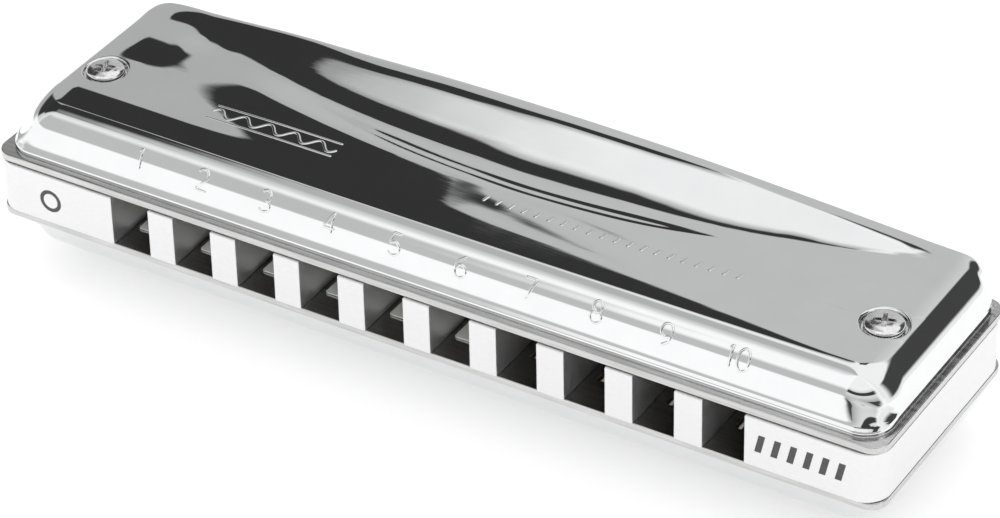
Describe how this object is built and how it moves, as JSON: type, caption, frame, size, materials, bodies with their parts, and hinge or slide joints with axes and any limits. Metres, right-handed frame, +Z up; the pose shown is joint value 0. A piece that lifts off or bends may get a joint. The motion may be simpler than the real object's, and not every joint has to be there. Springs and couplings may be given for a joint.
{
  "type": "diatonic harmonica",
  "caption": "Slim mouth organ: chromed pressed covers over slotted reed plates and an aluminium comb, with sprung reeds and flap valves behind a row of square mouth holes.",
  "frame": {"origin": "under the middle of the instrument, on the surface that it lies on", "axes": "+X along the length from the low notes to the high notes, -Y out of the mouth holes, +Z up through the upper cover"},
  "size_m": [0.1006, 0.027, 0.0213],
  "materials": {
    "cover_chrome": "mirror-polished chrome plate",
    "comb_aluminium": "fine satin",
    "plate_metal": "bright plated, fine grain",
    "screw_steel": "polished, plated",
    "plate_screw_brass": "machined",
    "reed_bronze": "ground spring bronze",
    "valve_film": "thin frosted film"
  },
  "bodies": {
    "root": {"comb": "comb_aluminium", "cover_nut_left": "screw_steel", "cover_nut_right": "screw_steel", "cover_screw_left": "screw_steel", "cover_screw_right": "screw_steel", "lower_cover": "cover_chrome", "lower_plate_screw_1": "plate_screw_brass", "lower_plate_screw_2": "plate_screw_brass", "lower_plate_screw_3": "plate_screw_brass", "lower_plate_screw_4": "plate_screw_brass", "lower_reed_plate": "plate_metal", "upper_cover": "cover_chrome", "upper_plate_screw_1": "plate_screw_brass", "upper_plate_screw_2": "plate_screw_brass", "upper_plate_screw_3": "plate_screw_brass", "upper_plate_screw_4": "plate_screw_brass", "upper_reed_plate": "plate_metal"},
    "blow_reed_01": {"blow_reed_01": "reed_bronze"},
    "blow_reed_02": {"blow_reed_02": "reed_bronze"},
    "blow_reed_03": {"blow_reed_03": "reed_bronze"},
    "blow_reed_04": {"blow_reed_04": "reed_bronze"},
    "blow_reed_05": {"blow_reed_05": "reed_bronze"},
    "blow_reed_06": {"blow_reed_06": "reed_bronze"},
    "blow_reed_07": {"blow_reed_07": "reed_bronze"},
    "blow_reed_08": {"blow_reed_08": "reed_bronze"},
    "blow_reed_09": {"blow_reed_09": "reed_bronze"},
    "blow_reed_10": {"blow_reed_10": "reed_bronze"},
    "draw_reed_01": {"draw_reed_01": "reed_bronze"},
    "draw_reed_02": {"draw_reed_02": "reed_bronze"},
    "draw_reed_03": {"draw_reed_03": "reed_bronze"},
    "draw_reed_04": {"draw_reed_04": "reed_bronze"},
    "draw_reed_05": {"draw_reed_05": "reed_bronze"},
    "draw_reed_06": {"draw_reed_06": "reed_bronze"},
    "draw_reed_07": {"draw_reed_07": "reed_bronze"},
    "draw_reed_08": {"draw_reed_08": "reed_bronze"},
    "draw_reed_09": {"draw_reed_09": "reed_bronze"},
    "draw_reed_10": {"draw_reed_10": "reed_bronze"},
    "blow_valve_07": {"blow_valve_07": "valve_film"},
    "blow_valve_08": {"blow_valve_08": "valve_film"},
    "blow_valve_09": {"blow_valve_09": "valve_film"},
    "blow_valve_10": {"blow_valve_10": "valve_film"},
    "draw_valve_01": {"draw_valve_01": "valve_film"},
    "draw_valve_02": {"draw_valve_02": "valve_film"},
    "draw_valve_03": {"draw_valve_03": "valve_film"},
    "draw_valve_04": {"draw_valve_04": "valve_film"},
    "draw_valve_05": {"draw_valve_05": "valve_film"},
    "draw_valve_06": {"draw_valve_06": "valve_film"}
  },
  "joints": [
    {"name": "blow_reed_bend_01", "type": "hinge", "parent": "root", "child": "blow_reed_01", "pos_m": [-0.0335, -0.0089, 0.01336], "axis": [1, 0, 0], "range_deg": [-2.79, 2.79], "stiffness_Nm_per_rad": 0.0005},
    {"name": "blow_reed_bend_02", "type": "hinge", "parent": "root", "child": "blow_reed_02", "pos_m": [-0.026, -0.0089, 0.01336], "axis": [1, 0, 0], "range_deg": [-2.92, 2.92], "stiffness_Nm_per_rad": 0.0005},
    {"name": "blow_reed_bend_03", "type": "hinge", "parent": "root", "child": "blow_reed_03", "pos_m": [-0.0185, -0.0089, 0.01336], "axis": [1, 0, 0], "range_deg": [-3.05, 3.05], "stiffness_Nm_per_rad": 0.0005},
    {"name": "blow_reed_bend_04", "type": "hinge", "parent": "root", "child": "blow_reed_04", "pos_m": [-0.011, -0.0089, 0.01336], "axis": [1, 0, 0], "range_deg": [-3.2, 3.2], "stiffness_Nm_per_rad": 0.0005},
    {"name": "blow_reed_bend_05", "type": "hinge", "parent": "root", "child": "blow_reed_05", "pos_m": [-0.0035, -0.0089, 0.01336], "axis": [1, 0, 0], "range_deg": [-3.37, 3.37], "stiffness_Nm_per_rad": 0.0005},
    {"name": "blow_reed_bend_06", "type": "hinge", "parent": "root", "child": "blow_reed_06", "pos_m": [0.004, -0.0089, 0.01336], "axis": [1, 0, 0], "range_deg": [-3.55, 3.55], "stiffness_Nm_per_rad": 0.0005},
    {"name": "blow_reed_bend_07", "type": "hinge", "parent": "root", "child": "blow_reed_07", "pos_m": [0.0115, -0.0089, 0.01336], "axis": [1, 0, 0], "range_deg": [-3.76, 3.76], "stiffness_Nm_per_rad": 0.0005},
    {"name": "blow_reed_bend_08", "type": "hinge", "parent": "root", "child": "blow_reed_08", "pos_m": [0.019, -0.0089, 0.01336], "axis": [1, 0, 0], "range_deg": [-3.99, 3.99], "stiffness_Nm_per_rad": 0.0005},
    {"name": "blow_reed_bend_09", "type": "hinge", "parent": "root", "child": "blow_reed_09", "pos_m": [0.0265, -0.0089, 0.01336], "axis": [1, 0, 0], "range_deg": [-4.25, 4.25], "stiffness_Nm_per_rad": 0.0005},
    {"name": "blow_reed_bend_10", "type": "hinge", "parent": "root", "child": "blow_reed_10", "pos_m": [0.034, -0.0089, 0.01336], "axis": [1, 0, 0], "range_deg": [-4.55, 4.55], "stiffness_Nm_per_rad": 0.0005},
    {"name": "draw_reed_bend_01", "type": "hinge", "parent": "root", "child": "draw_reed_01", "pos_m": [-0.0335, -0.0089, 0.00682], "axis": [1, 0, 0], "range_deg": [-2.79, 2.79], "stiffness_Nm_per_rad": 0.0005},
    {"name": "draw_reed_bend_02", "type": "hinge", "parent": "root", "child": "draw_reed_02", "pos_m": [-0.026, -0.0089, 0.00682], "axis": [1, 0, 0], "range_deg": [-2.92, 2.92], "stiffness_Nm_per_rad": 0.0005},
    {"name": "draw_reed_bend_03", "type": "hinge", "parent": "root", "child": "draw_reed_03", "pos_m": [-0.0185, -0.0089, 0.00682], "axis": [1, 0, 0], "range_deg": [-3.05, 3.05], "stiffness_Nm_per_rad": 0.0005},
    {"name": "draw_reed_bend_04", "type": "hinge", "parent": "root", "child": "draw_reed_04", "pos_m": [-0.011, -0.0089, 0.00682], "axis": [1, 0, 0], "range_deg": [-3.2, 3.2], "stiffness_Nm_per_rad": 0.0005},
    {"name": "draw_reed_bend_05", "type": "hinge", "parent": "root", "child": "draw_reed_05", "pos_m": [-0.0035, -0.0089, 0.00682], "axis": [1, 0, 0], "range_deg": [-3.37, 3.37], "stiffness_Nm_per_rad": 0.0005},
    {"name": "draw_reed_bend_06", "type": "hinge", "parent": "root", "child": "draw_reed_06", "pos_m": [0.004, -0.0089, 0.00682], "axis": [1, 0, 0], "range_deg": [-3.55, 3.55], "stiffness_Nm_per_rad": 0.0005},
    {"name": "draw_reed_bend_07", "type": "hinge", "parent": "root", "child": "draw_reed_07", "pos_m": [0.0115, -0.0089, 0.00682], "axis": [1, 0, 0], "range_deg": [-3.76, 3.76], "stiffness_Nm_per_rad": 0.0005},
    {"name": "draw_reed_bend_08", "type": "hinge", "parent": "root", "child": "draw_reed_08", "pos_m": [0.019, -0.0089, 0.00682], "axis": [1, 0, 0], "range_deg": [-3.99, 3.99], "stiffness_Nm_per_rad": 0.0005},
    {"name": "draw_reed_bend_09", "type": "hinge", "parent": "root", "child": "draw_reed_09", "pos_m": [0.0265, -0.0089, 0.00682], "axis": [1, 0, 0], "range_deg": [-4.25, 4.25], "stiffness_Nm_per_rad": 0.0005},
    {"name": "draw_reed_bend_10", "type": "hinge", "parent": "root", "child": "draw_reed_10", "pos_m": [0.034, -0.0089, 0.00682], "axis": [1, 0, 0], "range_deg": [-4.55, 4.55], "stiffness_Nm_per_rad": 0.0005},
    {"name": "blow_valve_lift_07", "type": "hinge", "parent": "root", "child": "blow_valve_07", "pos_m": [0.0115, -0.0099, 0.01436], "axis": [1, 0, 0], "range_deg": [0, 6], "stiffness_Nm_per_rad": 0.00002},
    {"name": "blow_valve_lift_08", "type": "hinge", "parent": "root", "child": "blow_valve_08", "pos_m": [0.019, -0.0099, 0.01436], "axis": [1, 0, 0], "range_deg": [0, 6], "stiffness_Nm_per_rad": 0.00002},
    {"name": "blow_valve_lift_09", "type": "hinge", "parent": "root", "child": "blow_valve_09", "pos_m": [0.0265, -0.0099, 0.01436], "axis": [1, 0, 0], "range_deg": [0, 6], "stiffness_Nm_per_rad": 0.00002},
    {"name": "blow_valve_lift_10", "type": "hinge", "parent": "root", "child": "blow_valve_10", "pos_m": [0.034, -0.0099, 0.01436], "axis": [1, 0, 0], "range_deg": [0, 6], "stiffness_Nm_per_rad": 0.00002},
    {"name": "draw_valve_lift_01", "type": "hinge", "parent": "root", "child": "draw_valve_01", "pos_m": [-0.0335, -0.0099, 0.00782], "axis": [1, 0, 0], "range_deg": [0, 6], "stiffness_Nm_per_rad": 0.00002},
    {"name": "draw_valve_lift_02", "type": "hinge", "parent": "root", "child": "draw_valve_02", "pos_m": [-0.026, -0.0099, 0.00782], "axis": [1, 0, 0], "range_deg": [0, 6], "stiffness_Nm_per_rad": 0.00002},
    {"name": "draw_valve_lift_03", "type": "hinge", "parent": "root", "child": "draw_valve_03", "pos_m": [-0.0185, -0.0099, 0.00782], "axis": [1, 0, 0], "range_deg": [0, 6], "stiffness_Nm_per_rad": 0.00002},
    {"name": "draw_valve_lift_04", "type": "hinge", "parent": "root", "child": "draw_valve_04", "pos_m": [-0.011, -0.0099, 0.00782], "axis": [1, 0, 0], "range_deg": [0, 6], "stiffness_Nm_per_rad": 0.00002},
    {"name": "draw_valve_lift_05", "type": "hinge", "parent": "root", "child": "draw_valve_05", "pos_m": [-0.0035, -0.0099, 0.00782], "axis": [1, 0, 0], "range_deg": [0, 6], "stiffness_Nm_per_rad": 0.00002},
    {"name": "draw_valve_lift_06", "type": "hinge", "parent": "root", "child": "draw_valve_06", "pos_m": [0.004, -0.0099, 0.00782], "axis": [1, 0, 0], "range_deg": [0, 6], "stiffness_Nm_per_rad": 0.00002}
  ]
}
